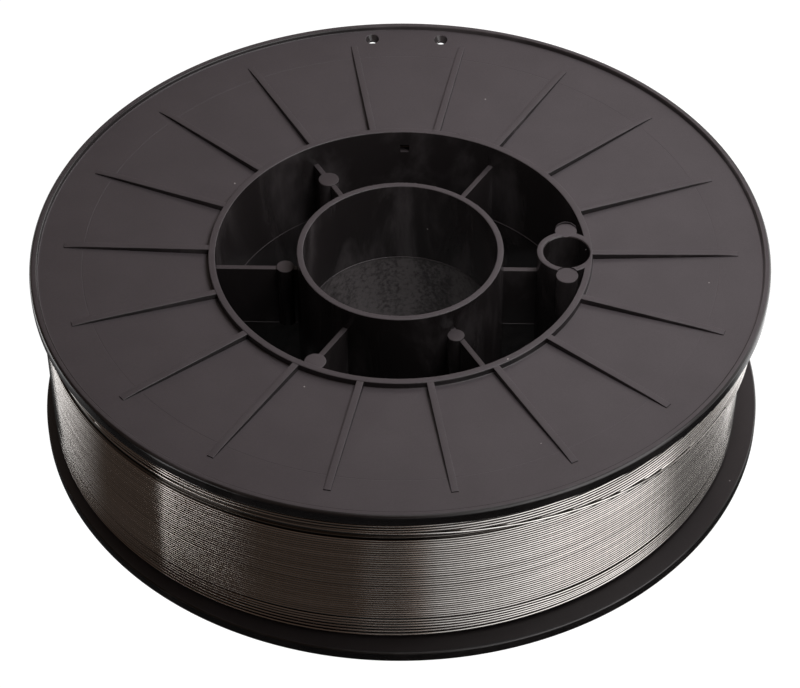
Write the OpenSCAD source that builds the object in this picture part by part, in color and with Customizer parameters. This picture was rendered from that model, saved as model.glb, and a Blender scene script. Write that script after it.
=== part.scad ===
// Flanged wire spool with a spindle bore and a drive hole, wound full of wire.
// The spool stands on its lower rim. Origin: middle of the lower rim's plane, +Z along the spindle.

/* [Flanges] */
// Diameter over the flanges
flange_d = 200; // [160:1:260]
// Width over both rims
spool_w = 55; // [44:1:75]
// Thickness of a flange disc
disc_t = 2.2; // [1.6:0.1:3.2]
// Width of the raised rim round a flange
rim_w = 2.1; // [1.8:0.1:4]
// Height of the rim above the disc
rim_h = 1.3; // [0.8:0.1:2.5]
// Rounding of the rim's outer edge
rim_round = 1.6; // [0.6:0.1:1.7]

/* [Hub] */
// Diameter of the spindle bore
bore_d = 52.5; // [40:0.5:64]
// Wall of the tube round the bore, at its mouth
tube_wall = 1.8; // [1.4:0.1:3]
// Diameter of the barrel that carries the wire
barrel_d = 104; // [86:1:130]
// Wall of the barrel, at its lip
barrel_wall = 1.9; // [1.5:0.1:3]
// Depth of the barrel's lip and the bore's mouth below the rim
hub_recess = 1.35; // [0.5:0.05:3]
// Height of the barrel's lip above the flange disc
lip_h = 1.8; // [1:0.1:4]
// Number of webs between tube and barrel
web_count = 6; // [4:1:9]
// Thickness of a web
web_t = 1.7; // [1.2:0.1:3]
// Depth of a web's edge below the lip
web_recess = 6.65; // [3:0.05:12]
// Sideways shift of every second web
web_shift = 0.6; // [0:0.1:1]

/* [Ribs] */
// Number of ribs on each flange
rib_count = 18; // [6:1:24]
// Width of a rib
rib_w = 1.9; // [1:0.1:3]
// Depth of a rib's crest below the lip, at the barrel
rib_drop = 0.15; // [0.1:0.05:0.5]
// Height of a rib above the disc where its end starts to run out
rib_end_h = 0.75; // [0.4:0.05:1.2]
// Length of the rounded run-out at a rib's end
rib_runout = 6.2; // [3:0.1:12]
// Distance from a rib's end to the rim
rib_gap = 6.7; // [4:0.1:12]

/* [Drive hole] */
// Diameter of the drive hole
drive_d = 12.5; // [8:0.1:14]
// Wall of the boss round the drive hole
drive_wall = 1.8; // [1.4:0.1:3]
// Wall left between the drive hole and the wire
drive_skin = 0.75; // [0.6:0.05:2]

/* [Ejector posts] */
// Radius of the posts beside the drive hole
boss_post_r = 3; // [2:0.1:3.5]
// Radius of the post at the barrel's lip
lip_post_r = 2.9; // [2:0.1:3.5]
// Radius of the posts on the webs
web_post_r = 2.5; // [1.8:0.1:3]
// Depth of the posts beside the drive hole and at the lip below the lip
post_recess = 0.5; // [0.2:0.1:1.5]

/* [Wire holes] */
// Width and height of the window for the wire's inner end
window_w = 2.5; // [1.5:0.1:4]
// Distance from the window to the flange
window_gap = 0.75; // [0.4:0.05:2]
// Diameter of a hole for the wire's outer end
end_hole_d = 2; // [1.2:0.1:3]
// Diameter of its countersink
end_sink_d = 3.7; // [3:0.1:5]
// Spacing of the two holes
end_hole_spacing = 20.2; // [10:0.1:40]
// Distance of the holes from the flange's edge
end_hole_inset = 6; // [5:0.1:10]

/* [Wire] */
// Distance from the winding to the flange's edge
wire_margin = 4; // [3:0.1:20]
// Turns drawn in the outer layer
turns = 24; // [10:1:24]
// Gap between two turns
turn_gap = 0.43; // [0.42:0.01:0.8]
// Clearance between the wire and the spool
wire_clear = 0.15; // [0.1:0.05:0.5]

/* [Hidden] */

plastic = "#4a4648";
metal = "#b9b6b0";
big_fn = 240;
small_fn = 48;

// Heights are measured from the middle of the width, because both sides are alike.
mid_z = spool_w / 2;
rim_z = spool_w / 2;
lip_z = rim_z - hub_recess;
web_z = lip_z - web_recess;
disc_in_z = lip_z - lip_h;
disc_out_z = rim_z - rim_h;
face_in_z = disc_in_z - disc_t;
face_out_z = disc_out_z - disc_t;

// Radii
flange_r = flange_d / 2;
rim_in_r = flange_r - rim_w;
edge_r = 0.4;
barrel_r = barrel_d / 2;
draft = 0.35;
barrel_in_r = barrel_r - barrel_wall;
bore_r = bore_d / 2;
tube_out_r = bore_r + tube_wall;
rib_end_r = rim_in_r - rib_gap;
rib_top_r = rib_end_r - rib_runout;
drive_r = barrel_r - drive_skin - drive_d / 2;
boss_r = drive_d / 2 + drive_wall;
sink = 0.6;

// Height of the disc's outer face, and of its inner face, at radius r
function disc_z(r) = disc_in_z + (disc_out_z - disc_in_z) * (r - barrel_r) / (rim_in_r - barrel_r);
function face_z(r) = min(disc_z(r), disc_out_z) - disc_t;

// ---- spool ----

// The outline of one side, closed by its mirror image below the middle
function both_sides(side) = concat(side, [for (i = [len(side) - 1 : -1 : 0]) [side[i][0], -side[i][1]]]);

// Section of barrel and flanges: x is the radius, y the height
module flange_section() {
    polygon(both_sides([
        [barrel_in_r - draft, 0],
        [barrel_in_r, lip_z],
        [barrel_r, lip_z],
        [barrel_r, disc_in_z],
        [rim_in_r, disc_out_z],
        [rim_in_r, rim_z],
        [flange_r - rim_round, rim_z],
        [flange_r, rim_z - rim_round],
        [flange_r, face_out_z + edge_r],
        [flange_r - edge_r, face_out_z],
        [rim_in_r, face_out_z],
        [barrel_r, face_in_z]
    ]));
    for (side = [-1, 1]) {
        translate([flange_r - rim_round, side * (rim_z - rim_round)]) circle(r = rim_round, $fn = small_fn);
    }
}

module tube_section() {
    polygon([
        [bore_r, -lip_z],
        [bore_r, lip_z],
        [tube_out_r, lip_z],
        [tube_out_r + draft, 0],
        [tube_out_r, -lip_z]
    ]);
}

module webs() {
    from_r = bore_r + tube_wall / 2;
    to_r = barrel_r - barrel_wall / 2;
    for (i = [0 : web_count - 1]) {
        rotate([0, 0, i * 360 / web_count])
        translate([from_r, (i % 2) * web_shift - web_t / 2, -web_z])
        cube([to_r - from_r, web_t, 2 * web_z]);
    }
}

// Side view of a rib: its crest follows the dished disc and its end runs out in an arc
module rib_side() {
    crest_z = lip_z - rib_drop;
    start_r = barrel_r - barrel_wall / 2;
    fall = disc_z(rib_top_r) + rib_end_h - disc_z(rib_end_r);
    steps = 8;
    polygon(concat(
        [[start_r, disc_in_z - sink], [start_r, crest_z], [barrel_r, crest_z]],
        [for (i = [0 : steps]) let (t = i / steps)
            [rib_top_r + rib_runout * t, disc_z(rib_end_r) + fall * (1 - t * t)]],
        [[rib_end_r, disc_z(rib_end_r) - sink]]
    ));
}

module ribs() {
    for (i = [0 : rib_count - 1]) {
        rotate([0, 0, i * 360 / rib_count])
        rotate([90, 0, 0])
        linear_extrude(height = rib_w, center = true)
        rib_side();
    }
}

module drive_boss() {
    intersection() {
        translate([drive_r, 0, -lip_z]) cylinder(r = boss_r, h = 2 * lip_z, $fn = small_fn);
        cylinder(r = barrel_r - drive_skin / 2, h = spool_w, center = true, $fn = big_fn);
    }
}

// A post stands on the middle plane, where the two sides of the mould meet
module post(angle, radius, post_r, top_z) {
    rotate([0, 0, angle]) translate([radius, 0, 0]) cylinder(r = post_r, h = top_z, $fn = small_fn);
}

module ejector_posts() {
    boss_posts(boss_post_r, 0, lip_z - post_recess / 2);
    web_a = 360 / web_count;
    post(4 * web_a + 4.2, barrel_in_r - 1.9, lip_post_r, lip_z - post_recess);
    post(2 * web_a, barrel_in_r - 7.8, web_post_r + 0.4, web_z + 0.25);
    post(3 * web_a + 1, tube_out_r + 3.3, web_post_r, web_z + 0.4);
    post(5 * web_a, tube_out_r + 2.9, web_post_r - 0.2, web_z + 0.4);
}

module boss_posts(post_r, from_z, to_z) {
    for (side = [-1, 1]) {
        translate([drive_r, side * (drive_d / 2 + boss_post_r - 0.05), from_z])
        cylinder(r = post_r, h = to_z - from_z, $fn = small_fn);
    }
}

module drive_hole() {
    chamfer = 0.35;
    translate([drive_r, 0, 0]) {
        cylinder(d = drive_d, h = 2 * spool_w, center = true, $fn = small_fn);
        for (side = [0, 1]) {
            mirror([0, 0, side])
            translate([0, 0, lip_z - chamfer])
            cylinder(d1 = drive_d, d2 = drive_d + 2 * (chamfer + 1), h = chamfer + 1, $fn = small_fn);
        }
    }
}

module window() {
    rotate([0, 0, 1.5 * 360 / web_count])
    translate([barrel_in_r - 3, -window_w / 2, face_in_z - window_gap - window_w])
    cube([barrel_wall + 6, window_w, window_w]);
}

module end_holes() {
    hole_r = flange_r - end_hole_inset;
    hole_y = sqrt(hole_r * hole_r - end_hole_spacing * end_hole_spacing / 4);
    sink_depth = 0.7 * disc_t;
    for (x = [-end_hole_spacing / 2, end_hole_spacing / 2]) {
        translate([x, hole_y, face_in_z - 1])
        cylinder(d = end_hole_d, h = spool_w, $fn = small_fn);
        translate([x, hole_y, disc_z(hole_r) - sink_depth])
        cylinder(d1 = end_hole_d, d2 = 2 * end_sink_d - end_hole_d, h = 2 * sink_depth, $fn = small_fn);
    }
}

module spool_body() {
    color(plastic)
    translate([0, 0, mid_z])
    difference() {
        union() {
            rotate_extrude($fn = big_fn) flange_section();
            rotate_extrude($fn = big_fn) tube_section();
            webs();
            drive_boss();
            ejector_posts();
            ribs();
            mirror([0, 0, 1]) ribs();
        }
        drive_hole();
        // The boss is stepped down to the posts beside it.
        boss_posts(boss_post_r + 0.03, lip_z - post_recess, rim_z);
        window();
        end_holes();
        mirror([0, 0, 1]) end_holes();
    }
}

// ---- wire ----

rings = 24;
sides = 6;
wind_r = flange_r - wire_margin;
low_z = -face_z(wind_r) + wire_clear;
wind_h = -2 * low_z;
// The turns and the gaps between them fill the width exactly.
pitch = (wind_h + turn_gap) / (turns + 1);
tube_d = pitch - turn_gap;
tube_r = tube_d / 2;
path_r = wind_r - tube_r;
core_r = path_r * cos(180 / rings) - tube_r - wire_clear;
// Each end bends towards the spindle and runs straight down to a ledge in the layers below.
bend_r = 0.8 * tube_d;
ledge_r = path_r - bend_r - tube_d;
ledge_w = tube_d + 2 * wire_clear;

start_z = low_z + tube_r;

// Points of the outer layer, from one ledge to the other: each is [place, side direction]
function turn_point(i) =
    let (a = 360 * i / rings, z = start_z + pitch * i / rings)
    [path_r * cos(a), path_r * sin(a), z];
function end_point(a, z, way, along, down) =
    [(path_r - down) * cos(a) - way * along * sin(a), (path_r - down) * sin(a) + way * along * cos(a), z];
function end_run(a, z, way) = concat(
    [for (b = [22.5 : 22.5 : 90]) end_point(a, z, way, bend_r * sin(b), bend_r * (1 - cos(b)))],
    [end_point(a, z, way, bend_r, bend_r + tube_d)]
);
function reversed(list) = [for (i = [len(list) - 1 : -1 : 0]) list[i]];

last = turns * rings;
last_a = 360 * last / rings;
path = concat(
    reversed(end_run(0, start_z, -1)),
    [for (i = [0 : last]) turn_point(i)],
    end_run(last_a, start_z + pitch * turns, 1)
);

function unit(v) = v / norm(v);
function heading(i) = unit(path[min(i + 1, len(path) - 1)] - path[max(i - 1, 0)]);
// One direction across the tube is the spindle's, made square to the heading.
function ring_at(i) =
    let (h = heading(i), up = unit([0, 0, 1] - h * h[2]), out = cross(up, h))
    [for (s = [0 : sides - 1]) let (a = 360 * (s + 0.5) / sides)
        path[i] + tube_r * (cos(a) * up + sin(a) * out)];

ring_points = [for (i = [0 : len(path) - 1]) ring_at(i)];
tube_points = [for (r = ring_points) each r];
function quad(i, s) =
    let (t = (s + 1) % sides, a = i * sides + s, b = i * sides + t, c = b + sides, d = a + sides)
    [[a, b, c], [a, c, d]];
tube_faces = concat(
    [for (i = [0 : len(path) - 2]) for (s = [0 : sides - 1]) each quad(i, s)],
    [for (s = [1 : sides - 2]) [0, s + 1, s]],
    [for (s = [1 : sides - 2]) let (n = (len(path) - 1) * sides) [n, n + s, n + s + 1]]
);

// Least distance between points of the tube one turn apart
near_rings = 3;
least_gap = min([
    for (i = [0 : len(path) - 1])
    for (j = [i + rings - near_rings : min(i + rings + near_rings, len(path) - 1)])
    for (p = ring_points[i])
    for (q = ring_points[j])
    norm(p - q)
]);
echo(str("least gap between turns: ", least_gap, " mm"));

module wire_inner_layers() {
    in_r = barrel_r + wire_clear;
    color(metal)
    translate([0, 0, mid_z])
    rotate_extrude($fn = big_fn)
    polygon(both_sides([
        [in_r, face_z(in_r) - wire_clear],
        [ledge_r, face_z(ledge_r) - wire_clear],
        [ledge_r, -low_z - ledge_w],
        [core_r, -low_z - ledge_w]
    ]));
}

module wire_outer_turns() {
    color(metal)
    translate([0, 0, mid_z])
    polyhedron(points = tube_points, faces = tube_faces);
}

spool_body();
wire_inner_layers();
wire_outer_turns();
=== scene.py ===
# %% [markdown]
# # A plastic wire spool, wound full of bright wire
#
# The spool is one injection moulding: two ribbed flanges, the barrel that carries the wire, and a tube for
# the spindle, held in the barrel by six webs. The wire is one unbroken length, laid turn beside turn.
#
# The measured solids of the part are loaded first. They give the size and the place of everything, and each
# piece made here stands exactly where its solid stands.

# %% Load the frame
import bpy, bmesh, math, random
from mathutils import Matrix, Vector


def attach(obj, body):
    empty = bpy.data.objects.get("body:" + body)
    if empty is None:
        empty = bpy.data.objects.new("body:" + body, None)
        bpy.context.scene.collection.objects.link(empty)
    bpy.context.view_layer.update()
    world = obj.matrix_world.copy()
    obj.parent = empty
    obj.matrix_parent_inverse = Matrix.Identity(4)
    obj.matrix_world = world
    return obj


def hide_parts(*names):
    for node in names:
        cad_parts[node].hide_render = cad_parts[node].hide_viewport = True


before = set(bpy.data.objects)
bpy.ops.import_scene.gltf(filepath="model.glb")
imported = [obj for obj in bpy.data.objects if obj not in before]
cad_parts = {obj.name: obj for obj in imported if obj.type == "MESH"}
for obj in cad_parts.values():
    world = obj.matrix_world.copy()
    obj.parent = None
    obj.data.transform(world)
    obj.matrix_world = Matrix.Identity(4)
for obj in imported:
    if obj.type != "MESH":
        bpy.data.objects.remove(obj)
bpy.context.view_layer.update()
MM = 0.001

# %% [markdown]
# ## Sizes
#
# All sizes are in millimetres, as on the drawing. Heights are counted from the middle of the width, because
# both sides of the spool are alike, and the middle is 27.5 mm above the ground.

# %% Sizes of the moulding
MID_Z = 27.5                                  # the middle plane, where the two cores of the mould meet
RIM_Z, LIP_Z, WEB_Z = 27.5, 26.15, 19.5       # top of the rim, of the barrel's lip and of the webs
DISC_IN_Z, DISC_OUT_Z = 24.35, 26.2           # the dished disc, at the barrel and at the rim
FACE_IN_Z, FACE_OUT_Z = 22.15, 24.0           # its inner face
FLANGE_R, RIM_IN_R, SCRIBE_R = 100.0, 97.9, 85.9
BARREL_R, BARREL_IN_R = 52.0, 50.1
BORE_R, TUBE_R = 26.25, 28.05
RIB_TOP_R, RIB_END_R, RIB_W = 85.0, 91.2, 1.9
BOSS_AT, BOSS_R, HOLE_R = 45.0, 8.05, 6.25


def disc_z(r):
    """Height of the dished disc's outer face at radius r."""
    return DISC_IN_Z + (DISC_OUT_Z - DISC_IN_Z) * (r - BARREL_R) / (RIM_IN_R - BARREL_R)


print("disc rises by", round(disc_z(RIM_IN_R) - disc_z(BARREL_R), 2), "mm from barrel to rim")

# %% [markdown]
# ## Rounded outlines
#
# Nothing that comes out of a mould has a truly sharp edge, and it is the small roundings that catch the
# light. So every outline is a list of corners, each with its own radius, and this helper turns a corner into
# a short arc.

# %% Helper for outlines
def rounded(corners, steps=4):
    """Points of a closed outline whose corners (x, y, radius) become arcs."""
    points = []
    for i, (x, y, radius) in enumerate(corners):
        here = Vector((x, y))
        before, after = (Vector(corners[j % len(corners)][:2]) for j in (i - 1, i + 1))
        u, v = (before - here).normalized(), (after - here).normalized()
        half = math.acos(max(-1, min(1, u.dot(v)))) / 2
        if radius <= 0 or half > math.pi / 2 - 0.01:
            points.append(here)
            continue
        reach = radius / math.tan(half)
        reach = min(reach, 0.49 * (before - here).length, 0.49 * (after - here).length)
        radius = reach * math.tan(half)
        centre = here + (u + v).normalized() * radius / math.sin(half)
        start, end = here + u * reach - centre, here + v * reach - centre
        turn = start.angle_signed(end)
        for k in range(steps + 1):
            arm = start.copy()
            arm.rotate(Matrix.Rotation(-turn * k / steps, 2))
            points.append(centre + arm)
    return points


# %% [markdown]
# Meshes are written from points in millimetres. `lofted` closes a solid through a row of loops, and
# `outwards` turns its faces the right way round, because loops that run the other way leave them inside out.
# The volume shows that a solid is closed and that its faces point outwards.

# %% Helpers for meshes
def new_object(name, mesh):
    obj = bpy.data.objects.new(name, mesh)
    bpy.context.scene.collection.objects.link(obj)
    return obj


def mesh_from(name, points, faces):
    mesh = bpy.data.meshes.new(name)
    mesh.from_pydata([[c * MM for c in p] for p in points], [], faces)
    mesh.validate()
    return new_object(name, mesh)


def lofted(name, loops):
    """A closed solid through loops that all have the same number of points."""
    n = len(loops[0])
    faces = [[i * n + k, i * n + (k + 1) % n, (i + 1) * n + (k + 1) % n, (i + 1) * n + k]
             for i in range(len(loops) - 1) for k in range(n)]
    faces += [list(range(n))[::-1], [(len(loops) - 1) * n + k for k in range(n)]]
    return outwards(mesh_from(name, [p for loop in loops for p in loop], faces))


def outwards(obj):
    """Turns every face of a closed mesh outwards."""
    bm = bmesh.new()
    bm.from_mesh(obj.data)
    bmesh.ops.remove_doubles(bm, verts=bm.verts, dist=1e-8)
    bmesh.ops.recalc_face_normals(bm, faces=bm.faces)
    if bm.calc_volume(signed=True) < 0:
        bmesh.ops.reverse_faces(bm, faces=bm.faces)
    bm.to_mesh(obj.data)
    bm.free()
    return obj


def volume(obj):
    bm = bmesh.new()
    bm.from_mesh(obj.data)
    value = bm.calc_volume(signed=True) / MM ** 3
    bm.free()
    return round(value, 1)


# %% [markdown]
# ## A small language for node trees
#
# Geometry Nodes and shader nodes are wired the same way. Long sums take many Math nodes, which are hard to
# read when they are made one by one. With `Socket`, numbers and links are added and multiplied as in plain
# Python, and the nodes are added behind the scenes.

# %% Sockets in sums
class Socket:
    """An output socket that can be used in sums. The nodes that do the sum are added when it is written."""

    def __init__(self, tree, link):
        self.tree, self.link = tree, link

    def _math(self, operation, *values):
        return self.tree.node(self.tree.math_type, {"operation": operation}, dict(enumerate(values)))

    def __add__(self, other): return self._math("ADD", self, other)
    def __radd__(self, other): return self._math("ADD", other, self)
    def __sub__(self, other): return self._math("SUBTRACT", self, other)
    def __rsub__(self, other): return self._math("SUBTRACT", other, self)
    def __mul__(self, other): return self._math("MULTIPLY", self, other)
    def __rmul__(self, other): return self._math("MULTIPLY", other, self)
    def __truediv__(self, other): return self._math("DIVIDE", self, other)
    def __rtruediv__(self, other): return self._math("DIVIDE", other, self)
    def __pow__(self, other): return self._math("POWER", self, other)
    def __gt__(self, other): return self._math("GREATER_THAN", self, other)
    def __lt__(self, other): return self._math("LESS_THAN", self, other)
    def do(self, operation, *others): return self._math(operation, self, *others)


# %% [markdown]
# `Tree` makes every other node. Its options come first, because they can change which sockets there are, and
# the values or links of its sockets come after that. `ramp` is the smooth step behind every soft edge.

# %% Node trees
class Tree:
    """Makes nodes in one node tree."""

    math_type = "ShaderNodeMath"

    def __init__(self, nodes):
        self.nodes, self.links = nodes.nodes, nodes.links

    def node(self, kind, settings=None, inputs=None, out=0):
        made = self.nodes.new(kind)
        for key, value in (settings or {}).items():
            if key == "curve":
                self.set_curve(made.mapping, value)
            else:
                setattr(made, key, value)
        for key, value in (inputs or {}).items():
            if isinstance(value, Socket):
                self.links.new(value.link, made.inputs[key])
            elif value is not None:
                made.inputs[key].default_value = value
        self.last = made
        return Socket(self, made.outputs[out]) if made.outputs else made

    def ramp(self, value, low, high, out_low=0.0, out_high=1.0):
        """A smooth step of a value, from out_low at low to out_high at high."""
        return self.node("ShaderNodeMapRange", {"interpolation_type": "SMOOTHSTEP"}, {
            "Value": value, "From Min": low, "From Max": high, "To Min": out_low, "To Max": out_high})

    def set_curve(self, mapping, points):
        curve = mapping.curves[0]
        for i, (x, y) in enumerate(points):
            if i < len(curve.points):
                curve.points[i].location = (x, y)
            else:
                curve.points.new(x, y)
        mapping.update()


# %% [markdown]
# A Geometry Nodes tree also has named inputs for its sizes. It is run once on an empty object, and the
# result is taken out as a plain mesh, so that the finished piece doesn't hang on any tree.

# %% Geometry Nodes trees
class GeoTree(Tree):
    """A Geometry Nodes tree with named inputs, run once and turned into a plain mesh."""

    def __init__(self, name, inputs):
        self.group = bpy.data.node_groups.new(name, "GeometryNodeTree")
        super().__init__(self.group)
        self.idents = {}
        for label, value in inputs.items():
            kind = {int: "NodeSocketInt", float: "NodeSocketFloat", bool: "NodeSocketBool"}
            kind = kind.get(type(value), "NodeSocketObject")
            socket = self.group.interface.new_socket(label, in_out="INPUT", socket_type=kind)
            self.idents[label] = socket.identifier
        self.group.interface.new_socket("Geometry", in_out="OUTPUT", socket_type="NodeSocketGeometry")
        self.values = inputs
        self.source = self.nodes.new("NodeGroupInput")

    def given(self, label):
        return Socket(self, self.source.outputs[label])

    def run(self, name, geometry):
        """Ends the tree, evaluates it and returns a plain mesh. Its material comes when it is dressed."""
        whole = self.node("GeometryNodeRealizeInstances", inputs={"Geometry": geometry})
        whole = self.node("GeometryNodeSetShadeSmooth", inputs={0: whole, "Shade Smooth": True})
        whole = self.node("GeometryNodeSetMaterial", inputs={"Geometry": whole})
        out = self.nodes.new("NodeGroupOutput")
        self.links.new(whole.link, out.inputs[0])
        holder = new_object(name + "_nodes", bpy.data.meshes.new(name + "_nodes"))
        modifier = holder.modifiers.new(name, "NODES")
        modifier.node_group = self.group
        for label, value in self.values.items():
            modifier[self.idents[label]] = value
        seen = holder.evaluated_get(bpy.context.evaluated_depsgraph_get())
        mesh = bpy.data.meshes.new_from_object(seen)
        mesh.name = name
        holder.modifiers.remove(modifier)
        bpy.data.objects.remove(holder)
        if mesh.attributes.get("UVMap"):
            mesh.attributes.remove(mesh.attributes["UVMap"])
        return new_object(name, mesh)


# %% [markdown]
# ## Geometry that goes round
#
# A flange is an outline swept round the spindle, so it is made by Curve to Mesh: the outline is the profile
# and a circle is the path. What repeats, such as a rib or a web, is one small mesh on points that are turned
# about the spindle, once for each side where both sides carry it.

# %% Swept and repeated geometry
def swept(name, outline, steps):
    """Sweeps a closed outline of (radius, height) round the spindle."""
    path_r = 40.0                             # any circle will do, because the outline is counted from it
    profile = bpy.data.meshes.new(name + "_profile")
    n = len(outline)
    points = [((r - path_r) * MM, -z * MM, 0) for r, z in outline]
    profile.from_pydata(points, [(i, (i + 1) % n) for i in range(n)], [])
    holder = new_object(name + "_profile", profile)
    tree = GeoTree(name + "_sweep", {"Profile": holder, "Steps round": steps, "Path radius": path_r * MM})
    circle = tree.node("GeometryNodeCurvePrimitiveCircle",
                       inputs={"Resolution": tree.given("Steps round"), "Radius": tree.given("Path radius")})
    shape = tree.node("GeometryNodeObjectInfo", inputs={"Object": tree.given("Profile")}, out="Geometry")
    shape = tree.node("GeometryNodeMeshToCurve", inputs={"Mesh": shape})
    ring = tree.node("GeometryNodeCurveToMesh", inputs={"Curve": circle, "Profile Curve": shape})
    made = tree.run(name, ring)
    bpy.data.objects.remove(holder)
    return outwards(made)


def repeated(name, piece, count, both_sides=False):
    """Turns copies of a piece about the spindle, and mirrors them below the middle plane where asked."""
    tree = GeoTree(name + "_repeat", {"Piece": piece, "Count": count, "Both sides": both_sides})
    shape = tree.node("GeometryNodeObjectInfo", inputs={"Object": tree.given("Piece")}, out="Geometry")
    flipped = tree.node("GeometryNodeTransform", inputs={"Geometry": shape, "Scale": (1, 1, -1)})
    flipped = tree.node("GeometryNodeFlipFaces", inputs={"Mesh": flipped})
    two = tree.node("GeometryNodeJoinGeometry", inputs={"Geometry": shape})
    tree.links.new(flipped.link, tree.last.inputs["Geometry"])
    shape = tree.node("GeometryNodeSwitch", {"input_type": "GEOMETRY"},
                      {"Switch": tree.given("Both sides"), "False": shape, "True": two})
    line = tree.node("GeometryNodeMeshLine", inputs={"Count": tree.given("Count"), "Offset": (0, 0, 0)})
    index = tree.node("GeometryNodeInputIndex")
    turn = tree.node("ShaderNodeCombineXYZ", inputs={"Z": index * (2 * math.pi) / tree.given("Count")})
    whole = tree.node("GeometryNodeInstanceOnPoints",
                      inputs={"Points": line, "Instance": shape, "Rotation": turn})
    made = tree.run(name, whole)
    bpy.data.objects.remove(piece)
    return made


# %% [markdown]
# ## Barrel and flanges
#
# On the real spool this is the body of the moulding. The disc is dished: it is deepest at the barrel and
# rises towards the rim. A thin circle is scribed in it near the ribs' ends. Half way down the barrel the two
# cores of the mould met and left a fine raised line.
#
# All of it is round, so it could be a lathe's work, or a stack of cylinders. One swept outline is better: it
# has no joints to hide, and each rounding sits in the outline where the drawing has it.

# %% Barrel and flanges
SEAM = 0.13                                   # how far the line where the cores met stands out


def on_disc(*radii):
    """Points of the outline on the disc's outer face. They keep the shading of its edges from spreading."""
    return [(r, disc_z(r), 0) for r in radii]


upper = [
    (BARREL_IN_R - 0.35, 0.14, 0), (BARREL_IN_R, LIP_Z, 0.28), (BARREL_R, LIP_Z, 0.34),
    (BARREL_R + 0.05, DISC_IN_Z, 0.3), *on_disc(BARREL_R + 0.9, SCRIBE_R - 0.5, SCRIBE_R - 0.13),
    (SCRIBE_R, disc_z(SCRIBE_R) - 0.05, 0), *on_disc(SCRIBE_R + 0.13, SCRIBE_R + 0.5, RIM_IN_R - 0.9),
    (RIM_IN_R - 0.05, DISC_OUT_Z, 0.35), (RIM_IN_R + 0.05, RIM_Z, 0.5), (FLANGE_R, RIM_Z, 1.75),
    (FLANGE_R, FACE_OUT_Z, 0.55), (RIM_IN_R, FACE_OUT_Z, 0), (BARREL_R, FACE_IN_Z, 0.8),
]
lower = [(r, -z, radius) for r, z, radius in upper[::-1]]
lower[-1] = (BARREL_IN_R - 0.42, -0.14, 0)
seam = [(BARREL_IN_R - 0.42 - SEAM, -0.05, 0), (BARREL_IN_R - 0.35 - SEAM, 0.06, 0)]
body = swept("barrel_and_flanges", rounded(upper + lower + seam, 6), 360)
print("barrel and flanges:", len(body.data.polygons), "faces,", volume(body), "mm3")

# %% [markdown]
# The tube for the spindle is the inner wall of the moulding. It is swept in the same way. It is a little
# thicker half way down than at its ends, so that it lets go of the mould, and it has the cores' line too.

# %% Tube for the spindle
half = [(BORE_R, 0.16, 0), (BORE_R + 0.05, LIP_Z, 0.3), (TUBE_R, LIP_Z, 0.3), (TUBE_R + 0.35, 0, 0)]
other = [(TUBE_R, -LIP_Z, 0.3), (BORE_R + 0.05, -LIP_Z, 0.3), (BORE_R + 0.04, -0.18, 0),
         (BORE_R - SEAM, -0.06, 0), (BORE_R - SEAM, 0.05, 0)]
tube = swept("spindle_tube", rounded(half + other, 5), 240)
print("spindle tube:", len(tube.data.polygons), "faces,", volume(tube), "mm3")

# %% [markdown]
# ## Ribs and webs
#
# Eighteen ribs stiffen each disc. A rib starts just under the lip, keeps a flat crest while the disc rises
# to meet it, and runs out in a short arc. A stretched cube couldn't follow both the flat crest and the
# rising disc, so a rib is lofted through rounded cross-sections. Then Instance on Points repeats it on both
# flanges.

# %% Ribs
def rib_loop(r, top):
    """Rounded cross-section of a rib at radius r."""
    foot = disc_z(r) - 0.6
    half_w, flare = RIB_W / 2, 0.05
    corners = [(-half_w - flare, foot, 0), (-half_w, top, 0.16),
               (half_w, top, 0.16), (half_w + flare, foot, 0)]
    return [(r, p.x, p.y) for p in rounded(corners, 4)]


crest = LIP_Z - 0.15
end_top = disc_z(RIB_TOP_R) + 0.75
loops = [rib_loop(BARREL_R - 0.95, crest), rib_loop(BARREL_R, crest)]
for r in (60, 68, 76, 83):
    loops.append(rib_loop(r, crest + (end_top - crest) * (r - BARREL_R) / (RIB_TOP_R - BARREL_R)))
arc_steps = 12
last_top = disc_z(RIB_END_R) + 0.24             # what is left of the rib's height at its end
for i in range(arc_steps + 1):
    t = i / arc_steps
    arc_top = last_top + (end_top - last_top) * (1 - t * t)
    loops.append(rib_loop(RIB_TOP_R + (RIB_END_R - RIB_TOP_R) * t, arc_top))
loops.append(rib_loop(RIB_END_R + 0.12, disc_z(RIB_END_R) - 0.2))
ribs = repeated("flange_ribs", lofted("rib", loops), 18, both_sides=True)
print("ribs:", len(ribs.data.polygons), "faces,", volume(ribs), "mm3")

# %% [markdown]
# Six webs hold the tube in the barrel. A web is a plate with a little draft on both sides, thickest at the
# middle plane, so it is lofted from one cross-section at the tube to the same one at the barrel. Three webs
# point straight at the spindle's middle and the three between them pass a little beside it.

# %% Webs
WEB_SHIFT = 0.6                               # every second web stands this far beside the spindle's middle
half_t, fat = 0.78, 0.12                      # half the thickness at the crest, and how much it grows below
edge = [(half_t, WEB_Z, 0.22), (half_t + fat, 0.1, 0), (half_t + fat + SEAM, 0, 0),
        (half_t + fat, -0.1, 0), (half_t, -WEB_Z, 0.22)]
section = rounded(edge + [(-y, z, radius) for y, z, radius in edge[::-1]], 4)


def web(name, shift, angle):
    """One web, moved sideways and then turned about the spindle."""
    ends = (TUBE_R - 0.9, BARREL_IN_R + 0.9)
    plate = lofted(name, [[(r, p.x + shift, p.y) for p in section] for r in ends])
    plate.data.transform(Matrix.Rotation(math.radians(angle), 4, "Z"))
    return plate


webs = [repeated("webs", web("web", 0, 0), 3), repeated("shifted_webs", web("shifted_web", WEB_SHIFT, 60), 3)]
print("webs:", [(w.name, len(w.data.polygons), volume(w)) for w in webs])

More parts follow.
